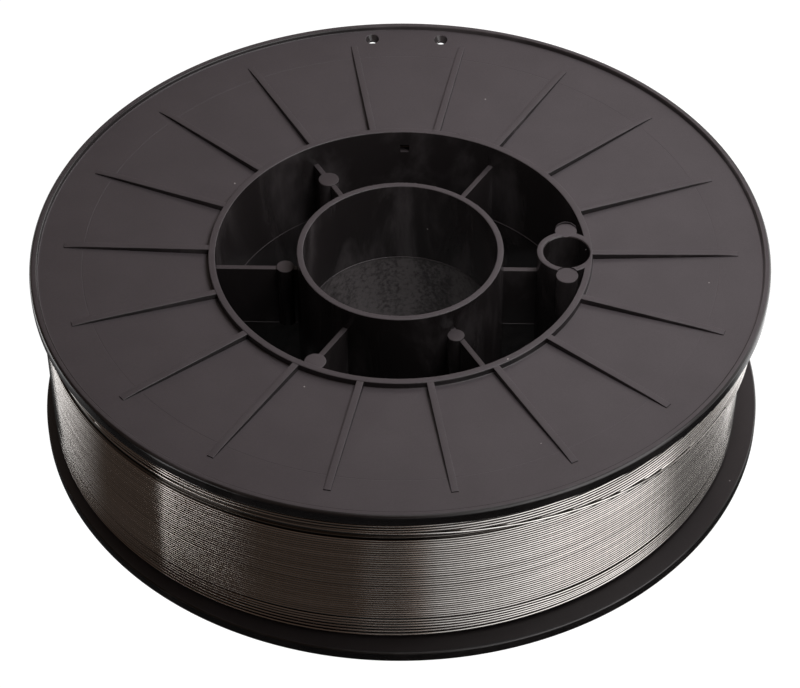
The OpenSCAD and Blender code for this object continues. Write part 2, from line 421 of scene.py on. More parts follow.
# %% [markdown]
# ## Drive boss and ejector posts
#
# The small boss at the barrel's wall takes the spindle's driving pin. The round pads are posts that the
# ejector pins push on. Cylinders would do, but their sharp edges would look cut out, so each is turned from
# an outline with a rounded top, at its own place.

# %% Boss and posts
def turned(name, profile, x, y, steps=64):
    """A solid of revolution about a vertical axis at x, y, from the profile's first end to its last."""
    ring = [(math.cos(2 * math.pi * k / steps), math.sin(2 * math.pi * k / steps)) for k in range(steps)]
    return lofted(name, [[(x + r * c, y + r * s, z) for c, s in ring] for r, z in profile])


def pin(name, x, y, radius, bottom, top, edge=0.22, steps=48):
    """A round post with a small rounding at its top."""
    outline = rounded([(0, bottom, 0), (radius, bottom, 0), (radius, top, edge), (0, top, 0)])
    return turned(name, [(p.x, p.y) for p in outline if p.x > 0], x, y, steps)


def polar(r, degrees):
    return r * math.cos(math.radians(degrees)), r * math.sin(math.radians(degrees))


POST_Y, POST_R = HOLE_R + 3 - 0.05, 3.0
boss = pin("drive_boss", BOSS_AT, 0, BOSS_R, -LIP_Z, LIP_Z, 0.28, 72)
beside_boss = [(POST_Y, LIP_Z - 0.65), (-POST_Y, LIP_Z - 0.4)]    # place and top of the posts at the boss
posts = [pin("post_beside_boss", BOSS_AT, y, POST_R, 0, top) for y, top in beside_boss]
posts += [
    pin("post_at_lip", *polar(BARREL_IN_R - 1.9, -115.8), 2.92, 0, LIP_Z - 0.65),
    pin("post_on_web_120", *polar(BARREL_IN_R - 7.8, 120), 2.9, 0, WEB_Z + 0.25),
    pin("post_on_web_180", *polar(TUBE_R + 3.3, 181), 2.45, 0, WEB_Z + 0.4),
    pin("post_on_web_300", *polar(TUBE_R + 2.95, 299.85), 2.3, 0, WEB_Z + 0.4),
]


def flash(name, x, y, radius, low, high, from_angle, to_angle, steps=16):
    """A thin fin of plastic standing round a part of a post, as left by a worn ejector pin."""
    loops = []
    for k in range(steps + 1):
        angle = from_angle + (to_angle - from_angle) * k / steps
        fade = math.sin(math.pi * k / steps) ** 0.5
        (ix, iy), (ox, oy) = polar(radius, angle), polar(radius + 0.02 + 0.1 * fade, angle)
        ix, iy, ox, oy = x + ix, y + iy, x + ox, y + oy
        foot, top = low - 0.3, low + (high - low) * (0.25 + 0.75 * fade)
        loops.append([(ix, iy, foot), (ox, oy, foot), (ox, oy, top), (ix, iy, top)])
    return lofted(name, loops)


posts.append(flash("flash_behind_post", BOSS_AT, POST_Y, POST_R - 0.04, LIP_Z - 0.66, LIP_Z - 0.1, 20, 160))
print("posts:", [(p.name, volume(p)) for p in posts])

# %% [markdown]
# ## Holes
#
# The drive hole goes right through. Near each flange's edge two small countersunk holes hold the wire's
# outer end, and a square window in the barrel holds its inner end. Each is cut by a solid of its own,
# because a hole that is drawn into the mesh would have to be fitted between the faces around it.

# %% Cutters
def box(name, lowest, highest):
    (x0, y0, z0), (x1, y1, z1) = lowest, highest
    return lofted(name, [[(x0, y0, z), (x1, y0, z), (x1, y1, z), (x0, y1, z)] for z in (z0, z1)])


lip = LIP_Z
hole_profile = [(HOLE_R + 0.45, -30), (HOLE_R + 0.45, -lip), (HOLE_R + 0.2, 0.12 - lip), (HOLE_R, 0.4 - lip),
                (HOLE_R, lip - 0.4), (HOLE_R + 0.2, lip - 0.12), (HOLE_R + 0.45, lip), (HOLE_R + 0.45, 30)]
step_behind = [(POST_R - 0.05, lip - 0.66), (POST_R - 0.05, 30)]
step_before = [(POST_R + 0.03, lip - 0.42), (POST_R + 0.03, 30)]
window = (-1.25, BARREL_IN_R - 3, FACE_IN_Z - 3.25), (1.25, BARREL_R + 3, FACE_IN_Z - 0.75)
cutters = [turned("drive_hole", hole_profile, BOSS_AT, 0, 72),
           turned("boss_step_behind", step_behind, BOSS_AT, POST_Y, 48),
           turned("boss_step_before", step_before, BOSS_AT, -POST_Y, 48),
           box("wire_window", *window)]
END_X, END_R, END_SHIFT = 10.1, 94.0, 0.5     # the pair of end holes stands a little to one side
END_LONG = 1.12                               # each is a little longer towards the rim than it is wide
END_Y = math.sqrt(END_R ** 2 - END_X ** 2)
for x in (-END_X, END_X):
    for side in (1, -1):
        top = disc_z(END_R)
        profile = [(1.2, 20), (1.2, top - 1.65), (1.35, top - 1.5),
                   (1.93, top - 0.05), (2.1, top + 0.05), (2.1, 30)]
        profile = [(r, side * z) for r, z in profile][::side]
        hole = turned("end_hole", profile, 0, 0, 40)
        place = Matrix.Translation(((x - END_SHIFT) * MM, END_Y * MM, 0))
        hole.data.transform(place @ Matrix.Diagonal((1, END_LONG, 1, 1)))
        cutters.append(hole)
print("cutters:", len(cutters))

# %% [markdown]
# ## One moulding
#
# The pieces are joined by Boolean modifiers, as the steel of the mould joins them on the real part, and the
# holes are cut last. The Manifold solver is quick and always gives a closed mesh.

# %% Join and cut
def combine(base, others, operation):
    for other in others:
        modifier = base.modifiers.new(operation, "BOOLEAN")
        modifier.operation, modifier.solver, modifier.object = operation, "MANIFOLD", other
    seen = base.evaluated_get(bpy.context.evaluated_depsgraph_get())
    mesh = bpy.data.meshes.new_from_object(seen)
    base.modifiers.clear()
    base.data = mesh
    for other in others:
        bpy.data.objects.remove(other)
    return base


boss = combine(boss, [pin("barrel_plug", 0, 0, BARREL_R - 0.4, -30, 30, 0, 360)], "INTERSECT")
spool = combine(body, [tube, *webs, ribs, boss, *posts], "UNION")
spool = combine(spool, cutters, "DIFFERENCE")
spool.name = spool.data.name = "spool_moulding"
spool.data.transform(Matrix.Translation((0, 0, MID_Z * MM)))
print("spool moulding:", len(spool.data.polygons), "faces")

# %% [markdown]
# Smooth shading hides the steps of the round shapes. It has to stop at edges, or the light of a rib's side
# would spread over the flat disc round it. Most edges are found by their angle. The scribed circle and the
# shallow end of a rib leave the disc at too flat an angle for that, so their edges are found by place: on
# one side of them all corners of a face lie on the disc, and on the other they don't.

# %% Shade it
def soften(obj, degrees):
    """Smooth shading that stays crisp where two faces meet at more than this angle."""
    for polygon in obj.data.polygons:
        polygon.use_smooth = True
    obj.data.set_sharp_from_angle(angle=math.radians(degrees))


def crisp_on_disc(obj):
    """Marks the edges where ribs and scribed circles leave the flat face of a disc."""
    def flat(vertex):
        r = math.hypot(vertex.co.x, vertex.co.y) / MM
        return BARREL_R + 0.8 < r < RIM_IN_R - 0.7 and abs(abs(vertex.co.z / MM - MID_Z) - disc_z(r)) < 0.012

    bm = bmesh.new()
    bm.from_mesh(obj.data)
    level = {v.index: flat(v) for v in bm.verts}
    for e in bm.edges:
        if level[e.verts[0].index] and level[e.verts[1].index] and len(e.link_faces) == 2:
            whole = [all(level[v.index] for v in f.verts) for f in e.link_faces]
            if whole[0] != whole[1]:
                e.smooth = False
    bm.to_mesh(obj.data)
    bm.free()


soften(spool, 28)
crisp_on_disc(spool)
check = bmesh.new()
check.from_mesh(spool.data)
print("open edges:", sum(not e.is_manifold for e in check.edges), "volume", volume(spool), "mm3")
check.free()

# %% [markdown]
# ## The wire
#
# The wire is 0.8 mm thick, and 55 turns of it lie side by side between the flanges. A bump on a smooth drum
# would be cheaper, but the eye sees at once that such turns don't cross or stand off. So each turn is real.
#
# A full winding isn't round. On every layer the wire crosses to the next turn at about the same angle, so
# the layers pile up there, and the winding is 3.5 mm fatter on that side.

# %% Sizes of the winding
WIRE_R = 0.4
LAYER_R = 94.2 - WIRE_R                       # path of the outer layer where the winding is thinnest
LAYER_STEP = 0.69                             # from layer to layer, as turns rest in the grooves below them
BULGE, BULGE_AT, BULGE_POWER = 3.5, -175.0, 2.5
STEPS = 200                                   # points on each turn


def bulge(degrees):
    """How much fatter the winding is at this angle."""
    return BULGE * ((1 + math.cos(math.radians(degrees - BULGE_AT))) / 2) ** BULGE_POWER


print("the winding grows from", LAYER_R + WIRE_R, "mm to", round(LAYER_R + WIRE_R + bulge(BULGE_AT), 2), "mm")

# %% [markdown]
# Float curves say how far the turns lean up or down on their way round, which opens the few gaps that show
# as dark lines. A curve like that is easier to set than a formula, and it meets itself behind.

# %% Curves along the wire and round the drum
def fitted(tree, value, points):
    """A float curve through (input, mm) points, whose inputs run from 0 to 1."""
    low = min(v for _, v in points)
    span = max(max(v for _, v in points) - low, 1e-6)
    shares = [(x, (v - low) / span) for x, v in points]
    curve = tree.node("ShaderNodeFloatCurve", {"curve": shares}, {"Value": value})
    return curve * (span * MM) + low * MM


def round_the_drum(tree, angle, points):
    """A float curve through (degrees from -180 to 180, mm) points, that meets itself behind."""
    share = (angle / (2 * math.pi) + 0.5).do("FRACT")
    return fitted(tree, share, [((degrees + 180) / 360, v) for degrees, v in points])


# %% [markdown]
# One tree lays every length of wire: a line of points is bent round the spindle, a noise lets it wander a
# little as wire laid by a machine does, and Curve to Mesh gives it its thickness.

# %% A length of wire laid in turns
def laid_wire(name, turns, start_z, pitch, path_r, wander=0.03, drift=0.02, first_angle=0.0, seed=1.0,
              gaps=None, lift=None, lean=None, lean_span=(-0.2, -0.1, 1.1, 1.2), edge=None, proud=None,
              tuck=(False, False), fat=BULGE, steps=STEPS, sides=8):
    """Turns of wire. gaps and lift add to height and radius along the wire. lean tilts the turns round the
    drum; over the four shares of lean_span it sets in and fades out. Turns below edge dive under the layer
    beside them, and proud lets them stand off it."""
    tree = GeoTree(name + "_laying", {
        "Turns": float(turns), "Steps per turn": steps, "First height": start_z * MM, "Pitch": pitch * MM,
        "Path radius": path_r * MM, "Wire radius": WIRE_R * MM, "Sides": sides, "Wander": wander * MM,
        "Drift": drift * MM, "First angle": first_angle, "Seed": seed, "Bulge": fat * MM,
        "Bulge angle": math.radians(BULGE_AT), "Tucked start": float(tuck[0]), "Tucked end": float(tuck[1])})
    given = tree.given
    last = (given("Turns") * given("Steps per turn")).do("ROUND")
    line = tree.node("GeometryNodeMeshLine", inputs={"Count": last + 1, "Offset": (0.001, 0, 0)})
    line = tree.node("GeometryNodeMeshToCurve", inputs={"Mesh": line})
    index = tree.node("GeometryNodeInputIndex")
    turn = index / given("Steps per turn")
    angle = turn * (2 * math.pi) + given("First angle")
    share = index / last
    # neighbouring turns wander alike, because each lies against the one before it
    place = tree.node("ShaderNodeCombineXYZ", inputs={
        "X": angle.do("COSINE") * 1.7, "Y": angle.do("SINE") * 1.7, "Z": turn * 0.16 + given("Seed") * 11})
    alike = tree.node("ShaderNodeTexNoise", {"noise_dimensions": "3D"},
                      {"Vector": place, "Scale": 1.6, "Detail": 2.0, "Roughness": 0.55})
    place = tree.node("ShaderNodeCombineXYZ", inputs={
        "X": angle.do("COSINE") * 3.1, "Y": angle.do("SINE") * 3.1, "Z": turn * 0.93 + given("Seed") * 7})
    alone = tree.node("ShaderNodeTexNoise", {"noise_dimensions": "3D"},
                      {"Vector": place, "Scale": 1.4, "Detail": 1.0, "Roughness": 0.5})
    height = given("First height") + given("Pitch") * turn + (alike - 0.5) * (4 * given("Wander"))
    height = height + (alone - 0.5) * (2 * given("Drift"))
    radius = given("Path radius") + (alone - 0.5) * (1.6 * given("Drift"))
    swell = (((angle - given("Bulge angle")).do("COSINE") + 1) / 2).do("MAXIMUM", 0) ** BULGE_POWER
    radius = radius + given("Bulge") * swell
    if gaps:
        height = height + fitted(tree, share, gaps)
    if lift:
        radius = radius + fitted(tree, share, lift)
    taking_part = tree.ramp(share, lean_span[0], lean_span[1]) * tree.ramp(share, lean_span[3], lean_span[2])
    if lean:
        height = height + round_the_drum(tree, angle, lean) * taking_part
    if edge:
        above = tree.ramp(height - round_the_drum(tree, angle, edge), 0.1 * MM, 0.7 * MM)
        radius = radius - (1 - above) * (1.5 * MM)
    if proud:
        radius = radius + round_the_drum(tree, angle, proud) * taking_part
    # a tucked end turns in under the turns beside it
    for label, from_end in (("Tucked start", index), ("Tucked end", last - index)):
        near = (1 - from_end / 5).do("MAXIMUM", 0)
        radius = radius - near * near * given(label) * (2.4 * MM)
    spot = tree.node("ShaderNodeCombineXYZ", inputs={
        "X": angle.do("COSINE") * radius, "Y": angle.do("SINE") * radius, "Z": height + MID_Z * MM})
    line = tree.node("GeometryNodeSetPosition", inputs={"Geometry": line, "Position": spot})
    line = tree.node("GeometryNodeSetCurveNormal", {"mode": "Z_UP"}, {"Curve": line})
    ring = tree.node("GeometryNodeCurvePrimitiveCircle",
                     inputs={"Resolution": given("Sides"), "Radius": given("Wire radius")})
    wire = tree.node("GeometryNodeCurveToMesh",
                     inputs={"Curve": line, "Profile Curve": ring, "Fill Caps": True})
    return tree.run(name, wire)


def report(wire):
    heights = [v.co.z / MM for v in wire.data.vertices]
    radii = [v.co.xy.length / MM for v in wire.data.vertices]
    print(wire.name, len(wire.data.polygons), "faces,", volume(wire), "mm3, z", round(min(heights), 2), "to",
          round(max(heights), 2), "r", round(min(radii), 2), "to", round(max(radii), 2))


# %% [markdown]
# The outer layer begins at the lower flange. Its first six turns stand a little apart and take the room of
# seven. The other 49 lie close, with a small gap here and there. Where the layer is covered by the turns on
# top, near the upper flange, it lies one layer deeper.

# %% Outer layer
WIND_Z = 23.40                                # how far the layer reaches up and down from the middle
PLACES = 56                                   # room for so many turns side by side
FIRST_PLACES, FIRST_TURNS = 7, 6
low = -WIND_Z
pitch = (2 * WIND_Z - 0.75) / PLACES          # the gaps between groups of turns add up to 0.75 mm
LEAN = [(-180, 0.3), (-130, 0.45), (-100, 0.55), (-80, 0.1), (-62, -0.3), (-30, -0.45), (40, -0.3),
        (120, 0.1), (180, 0.3)]
LEAN_FIRST = [(-180, 0.3), (-130, 0.45), (-100, 0.5), (-80, 0.1), (-66, -0.35), (-58, -0.7), (-34, -0.8),
              (-10, -0.4), (120, 0.1), (180, 0.3)]
first_gap = [(0, 0), (0.13, 0.0), (0.17, 0.20), (1, 0.20)]
step_gaps = [(0, 0.24), (0.012, 0.46), (0.295, 0.46), (0.312, 0.58), (0.38, 0.58), (0.395, 0.66),
             (0.765, 0.66), (0.78, 0.75), (1, 0.75)]
step_down = [(0, 0), (0.745, 0), (0.753, -LAYER_STEP), (1, -LAYER_STEP)]
wires = [
    laid_wire("wire_first_turns", FIRST_TURNS, low, pitch * FIRST_PLACES / FIRST_TURNS, LAYER_R,
              wander=0.02, drift=0.05, tuck=(True, False), gaps=first_gap,
              lean=LEAN_FIRST, lean_span=(0.15, 0.7, 1.1, 1.2)),
    laid_wire("wire_outer_layer", PLACES - FIRST_PLACES, low + pitch * FIRST_PLACES, pitch, LAYER_R,
              wander=0.03, drift=0.03, gaps=step_gaps, lift=step_down,
              lean=LEAN, lean_span=(-0.2, -0.1, 0.75, 0.95), seed=2.0),
]
for wire in wires:
    report(wire)

# %% [markdown]
# Below the upper flange the wire turned back and began one more layer. Its lower edge isn't level: on one
# side it ends just below the flange, and on the other it hangs down over the layer below. Each turn there
# dives under its neighbours where it meets the edge. The last turn is loose. It rides along that edge,
# stands off the winding on one side, and its end is tucked under.

# %% Turns on top of the full layer
top = low + pitch * PLACES + 0.75
extra, extra_pitch = 16.93, -0.93             # turns on top, and the way down from one to the next
EDGE = [(-180, 18.5), (-148, 18.5), (-138, 16.9), (-110, 16.6), (-90, 16.3), (-78, 15.3), (-70, 14.2),
        (-62, 12.8), (-50, 10.3), (-40, 8.5), (-30, 7.5), (-20, 7.0), (0, 6.8), (60, 7.0), (110, 9.5),
        (150, 13.5), (180, 18.5)]
PROUD = [(-180, 0.0), (-60, 0.0), (-40, 0.25), (-25, 1.0), (-8, 1.7), (20, 1.5), (60, -0.6), (120, -0.6),
         (150, 0.0), (180, 0.0)]
wires.append(laid_wire(
    "wire_top_turns", extra, top, extra_pitch, LAYER_R + LAYER_STEP, wander=0.06, drift=0.10, seed=3.0,
    lift=[(0, -LAYER_STEP), (0.02, 0), (1, 0)], edge=EDGE, proud=PROUD, lean_span=(0.3, 0.95, 1.1, 1.2)))
loose_angle = 2 * math.pi * (extra % 1)       # it goes on where the turns on top end
wires.append(laid_wire(
    "wire_loose_turn", 1.1, 0.72, -0.83, LAYER_R + 0.78, wander=0.03, drift=0.08, seed=3.0,
    first_angle=loose_angle, tuck=(False, True), lean=EDGE, proud=PROUD))
for wire in wires[-2:]:
    report(wire)

# %% [markdown]
# The layers below show only through the gaps and through the window in the barrel. So they are one ring
# whose outside is ridged like wire, and five real turns on the barrel behind the window. Real turns all the
# way down would be thousands, and nobody could see them. The ring is stretched to the same bulge.

# %% Wire below
below_r = LAYER_R - LAYER_STEP
ridge = [(-0.5, -0.28), (-0.3, 0.27), (0.0, 0.4), (0.3, 0.27)]    # one turn: share of the pitch, height in mm
outline = [(below_r + dr, low + pitch * (i + 0.5 + dz)) for i in range(PLACES) for dz, dr in ridge]
CORE_R = 80.0
outline += [(below_r - 0.2, 23.6), (CORE_R, 23.2), (CORE_R, -23.2), (below_r - 0.2, -23.6)]
under = swept("wire_layer_below", outline, 180)
soften(under, 60)
for vertex in under.data.vertices:
    if vertex.co.xy.length > (CORE_R + 2) * MM:
        grown = 1 + bulge(math.degrees(math.atan2(vertex.co.y, vertex.co.x))) * MM / vertex.co.xy.length
        vertex.co.x, vertex.co.y = vertex.co.x * grown, vertex.co.y * grown
under.data.transform(Matrix.Translation((0, 0, MID_Z * MM)))
wires.append(under)
wires.append(laid_wire("wire_on_barrel", 5, 17.2, 0.81, BARREL_R + 0.45, wander=0.0, drift=0.01,
                       tuck=(True, True), fat=0.0, steps=120))
for wire in wires[-2:]:
    report(wire)

# %% [markdown]
# ## Burrs
#
# Where a tool was trimmed or two mould parts met, the edges of the real part carry tiny flakes of plastic.
# One small faceted flake is scattered on the lips' edges and on the seam, turned and scaled by chance with a
# fixed seed. They are real little solids, because they catch the light on an edge where a bump would not.

# %% Burrs scattered on edges
def flakes(name, rings, count, size, seed):
    """Scatters small flakes on circles given as (radius, height, first angle, last angle)."""
    rng = random.Random(seed)
    bm = bmesh.new()
    for _ in range(count):
        r, z, a0, a1 = rng.choice(rings)
        angle = rng.uniform(a0, a1)
        x, y = polar(r + rng.uniform(-0.05, 0.05), angle)
        long, high = size * rng.uniform(0.5, 1.6), size * rng.uniform(0.15, 0.4)
        spot = Matrix.Translation((x * MM, y * MM, (z + MID_Z) * MM)) \
            @ Matrix.Rotation(math.radians(angle + 90 + rng.uniform(-25, 25)), 4, "Z") \
            @ Matrix.Rotation(rng.uniform(-0.6, 0.6), 4, "X") \
            @ Matrix.Diagonal((long * MM, high * MM, high * MM, 1))
        bmesh.ops.create_icosphere(bm, subdivisions=1, radius=0.5, matrix=spot)
    mesh = bpy.data.meshes.new(name)
    bm.to_mesh(mesh)
    bm.free()
    return outwards(new_object(name, mesh))


edges = [(BARREL_IN_R + 0.1, LIP_Z - 0.03, 0, 360), (BARREL_R - 0.15, LIP_Z - 0.05, 0, 360),
         (TUBE_R - 0.1, LIP_Z - 0.05, 0, 360), (BORE_R + 0.1, LIP_Z - 0.05, 0, 360)]
burrs = flakes("burrs", edges, 130, 0.55, 4)
seam_rings = [(BORE_R - SEAM, 0, 35, 150), (BORE_R - SEAM, 0, 200, 330), (BARREL_IN_R - 0.4, 0, 0, 360)]
seam_burrs = flakes("seam_burrs", seam_rings, 60, 0.6, 9)
print("flakes:", len(burrs.data.polygons), len(seam_burrs.data.polygons), "faces")

# %% [markdown]
# ## Moulded plastic
#
# The spool is recycled polystyrene, a dark grey with some brown and purple in it. Its finish could come from
# pictures, but noises need none, and they have the same grain at any size and on every side. They read the
# place on the object, so that nothing slides when the spool is moved.

# %% A material with one shader
class Shader(Tree):
    """A material with one Principled shader."""

    def __init__(self, name, **constants):
        self.material = bpy.data.materials.new(name)
        self.material.use_nodes = True
        super().__init__(self.material.node_tree)
        self.nodes.clear()
        self.surface = self.nodes.new("ShaderNodeBsdfPrincipled")
        for label, value in constants.items():
            self.surface.inputs[label.replace("_", " ")].default_value = value
        self.end = self.nodes.new("ShaderNodeOutputMaterial")
        self.links.new(self.surface.outputs[0], self.end.inputs[0])
        self.place = self.node("ShaderNodeTexCoord", out="Object")
        axes = self.node("ShaderNodeSeparateXYZ", inputs={0: self.place})
        self.x, self.y, self.z = (Socket(self, self.last.outputs[i]) for i in range(3))

    def feed(self, label, value):
        self.links.new(value.link, self.surface.inputs[label])

    def noise(self, scale, detail=3.0, roughness=0.55, vector=None, distortion=0.0):
        return self.node("ShaderNodeTexNoise", inputs={
            "Vector": vector or self.place, "Scale": scale, "Detail": detail,
            "Roughness": roughness, "Distortion": distortion})

    def mix(self, share, a, b):
        return self.node("ShaderNodeMix", {"data_type": "RGBA"}, {"Factor": share, "A": a, "B": b}, out=2)

    def bump(self, height, distance, strength=1.0, under=None):
        made = self.node("ShaderNodeBump",
                         inputs={"Height": height, "Distance": distance, "Strength": strength})
        if under:
            self.links.new(under.link, self.last.inputs["Normal"])
        return made


# %% [markdown]
# The steel of the mould is fine-grained where it forms the flat faces, and they come out satin. Walls slide
# along the steel when the mould opens, so it is polished there, and they come out glossy. The normal tells a
# wall from a flat face. On the rim even a slight lean counts as wall, because the rim is rounded.

# %% Where the plastic is polished, and where it is the bore
plastic = Shader("moulded_plastic", IOR=1.5)
radius = (plastic.x * plastic.x + plastic.y * plastic.y) ** 0.5
plastic.node("ShaderNodeSeparateXYZ", inputs={0: plastic.node("ShaderNodeTexCoord", out="Normal")})
facing = Socket(plastic, plastic.last.outputs[2])
level = facing.do("ABSOLUTE")
height = plastic.z - MID_Z * MM
on_rim = plastic.ramp(radius, (RIM_IN_R - 0.25) * MM, (RIM_IN_R + 0.1) * MM)
# The walls found here also get a painted shade in their colour.
polished = plastic.ramp(level, 0.85, 0.5).do("MAXIMUM", on_rim * plastic.ramp(level, 0.995, 0.93))
low_half = plastic.ramp(plastic.z, (MID_Z + 0.05) * MM, (MID_Z - 0.05) * MM)
in_bore = plastic.ramp(radius, (BORE_R + 0.6) * MM, (BORE_R + 0.3) * MM)
print("nodes that sort the faces:", len(plastic.nodes))

# %% [markdown]
# The flat faces are mottled. A painted shade darkens them where they lie deep or face the middle plane,
# on the webs and inside the flanges.
# The walls get a darker painted shade and carry long smears. The lower half of the bore is painted paler, a
# painted light, and is scuffed. A little pale dust lies on everything. Each Voronoi cell has a point, and its
# colour chooses whether a speck lies there.

# %% Colours of the plastic
FACES = (0.0530, 0.0450, 0.0490, 1), (0.0630, 0.0537, 0.0583, 1)      # darkest and palest of each kind
# painted shade: the colours of the walls
WALL_SHADE = (0.020, 0.0168, 0.0172, 1), (0.062, 0.054, 0.056, 1)
# painted light: the paler, scuffed lower half of the bore
BORE_LIGHT_AND_SCUFFS = (0.048, 0.042, 0.043, 1), (0.135, 0.12, 0.122, 1)
# painted shade of sunk faces; the dust is real
HOLLOW_SHADE, DUST = (0.025, 0.020, 0.0205, 1), (0.35, 0.33, 0.32, 1)
cloud = plastic.noise(90.0, 4.0)
grain = plastic.noise(3800.0, 2.0, 0.6)
coarse = plastic.noise(900.0, 4.0, 0.65)
mottled = plastic.ramp(cloud * 0.35 + grain * 0.65, 0.38, 0.62)
tone = plastic.mix(mottled, *FACES)
# painted shade where faces lie deep or face the middle plane
shaded_hollows = plastic.ramp(height.do("ABSOLUTE"), 24.2 * MM, 22.5 * MM).do("MAXIMUM", facing * height < 0)
tone = plastic.mix(shaded_hollows * 0.4, tone, HOLLOW_SHADE)
dust = plastic.node("ShaderNodeTexVoronoi", {"feature": "F1"},
                    {"Vector": plastic.place, "Scale": 130.0, "Randomness": 1.0})
chosen = plastic.node("ShaderNodeSeparateColor", inputs={0: Socket(plastic, plastic.last.outputs["Color"])})
walls = plastic.node("ShaderNodeCombineXYZ", inputs={
    "X": plastic.y.do("ARCTAN2", plastic.x) * 2.2, "Y": plastic.z * 22.0, "Z": radius * 40.0})
smears = plastic.noise(1.0, 5.0, 0.6, walls, 0.6)
scuffed = plastic.ramp(smears * 0.5 + coarse * 0.5, 0.40, 0.60)
# painted shade on the walls, with smears in it
tone = plastic.mix(polished, tone, plastic.mix(plastic.ramp(smears, 0.45, 0.72), *WALL_SHADE))
# painted light on the lower half of the bore, with scuffs
tone = plastic.mix(polished * low_half * in_bore, tone, plastic.mix(scuffed, *BORE_LIGHT_AND_SCUFFS))
specks = (dust < 0.028) * (chosen > 0.72)
plastic.feed("Base Color", plastic.mix(specks, tone, DUST))
print("nodes with the colours:", len(plastic.nodes))

# %% [markdown]
# Satin and gloss are two levels of roughness, mixed as the faces were sorted. The grain of the steel is a
# very small bump. It is real relief, but far too fine to be worth any geometry.

# %% Gloss and grain of the plastic
satin = 0.46 + (coarse - 0.5) * 0.12
gloss = 0.2 + (coarse - 0.5) * 0.1 + low_half * in_bore * (0.16 + (coarse - 0.5) * 0.3)
plastic.feed("Roughness", satin * (1 - polished) + gloss * polished)
fine = plastic.bump(grain, 0.00003, 0.55)
plastic.feed("Normal", plastic.bump(coarse * low_half * in_bore + coarse * 0.15, 0.00012, 0.5, fine))
print("plastic nodes:", len(plastic.nodes))

# %% [markdown]
# ## Drawn wire
#
# Drawn wire is bright along its length and shows fine lines where the die marked it. The turns differ a
# little in brightness, because each lies slightly turned against the next. The grooves between them lie in
# shadow. Light that is caught between two mirrors takes many samples to come out clean, so that shadow is
# painted into the colour: a painted shade on the flanks of each turn, on all that lies deeper than the full
# layer, and on the flanks of the turns on top. How deep a spot lies follows from its distance to the axis,
# and is asked twice: in the full layer and in the turns on top of it.

# %% Metal
WIRE = (0.50, 0.472, 0.450, 1), (0.66, 0.628, 0.602, 1)
# painted shade of the grooves and of turns that lie deep
GROOVE_SHADE = (0.10, 0.09, 0.08, 1)
metal = Shader("drawn_wire", Metallic=1.0)
around = metal.y.do("ARCTAN2", metal.x)
tone_place = metal.node("ShaderNodeCombineXYZ", inputs={"X": around * 2.0, "Y": metal.z * 1250.0, "Z": 0.0})
streak = metal.noise(1.0, 3.0, 0.6, tone_place)
tone = metal.mix(metal.ramp(streak, 0.3, 0.7), *WIRE)
radius = (metal.x * metal.x + metal.y * metal.y) ** 0.5
swell = (((around - math.radians(BULGE_AT)).do("COSINE") + 1) / 2).do("MAXIMUM", 0) ** BULGE_POWER
depth = (LAYER_R + BULGE * swell) * MM - radius      # below the full layer's path, so its crest is at -WIRE_R
# painted shade on the flanks of each turn, and on all that lies below the full layer
tone = metal.mix(metal.ramp(depth, -0.31 * MM, -0.15 * MM) * 0.85, tone, GROOVE_SHADE)
tone = metal.mix(metal.ramp(depth, 0.1 * MM, 0.5 * MM), tone, GROOVE_SHADE)
# painted shade on the flanks of the turns on top
shade_on_top = metal.ramp(depth, -1.0 * MM, -0.84 * MM) * (depth < -0.42 * MM)
metal.feed("Base Color", metal.mix(shade_on_top * 0.9, tone, GROOVE_SHADE))
die_place = metal.node("ShaderNodeCombineXYZ", inputs={"X": around * 9.0, "Y": metal.z * 9000.0, "Z": 0.0})
lines = metal.noise(1.0, 2.0, 0.5, die_place)
metal.feed("Roughness", 0.07 + lines * 0.09)
metal.feed("Normal", metal.bump(lines, 0.00001, 0.12))
print("metal nodes:", len(metal.nodes))

# %% [markdown]
# ## Dressing
#
# Each piece gets its material and hangs on the root. The moulding takes the place of the plain spool, the
# four lengths on the outside that of the outer turns, and the wire below that of the inner layers, whose
# solids are hidden.

# %% Dress the pieces and hide the solids they replace
OUTER = ("wire_outer_layer", "wire_first_turns", "wire_top_turns", "wire_loose_turn")
dressed = [(piece, plastic, "spool_plastic") for piece in (spool, burrs, seam_burrs)]
dressed += [(wire, metal, "wire_metal") for wire in wires]
for piece, shader, slot in dressed:
    piece.data.materials.clear()
    piece.data.materials.append(shader.material)
    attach(piece, "root")
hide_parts("spool_body")
for wire in wires:
    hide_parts("wire_outer_turns" if wire.name in OUTER else "wire_inner_layers")

# %% [markdown]
# ## Floor, light and camera
#
# The spool stands on a plain white floor in front of white. Bright metal has no look of its own: it shows
# the room. So the room that is seen in reflections is arranged as in a product studio, and only glossy rays
# see it. A tall light box stands in front and to the right, a second one hangs overhead, and what isn't a
# light is nearly black. The camera sees nothing of it. Cards and boxes of real geometry would also do, but
# they would shade the spool and stand in the way of the camera.

# %% Helpers for floor and room
def azimuth_of(tree, x, y):
    """Angle round the spindle in degrees, 0 on the right and -90 in front."""
    return y.do("ARCTAN2", x) * (180 / math.pi)


def between(tree, value, low, high, soft):
    """1 from low to high, with a soft edge on both sides."""
    return tree.ramp(value, low - soft, low + soft) * tree.ramp(value, high + soft, high - soft)


def ray(tree, *kinds):
    """1 for rays of these kinds, 0 for others."""
    path = tree.node("ShaderNodeLightPath").link.node
    found = Socket(tree, path.outputs[kinds[0]])
    for kind in kinds[1:]:
        found = found.do("MAXIMUM", Socket(tree, path.outputs[kind]))
    return found


# %% [markdown]
# For the camera the floor is white by its own light, and one tenth of it is a plain pale surface that takes
# the spool's shadow. A floor that is white only by lamplight would need so much of it that the spool would
# wash out.

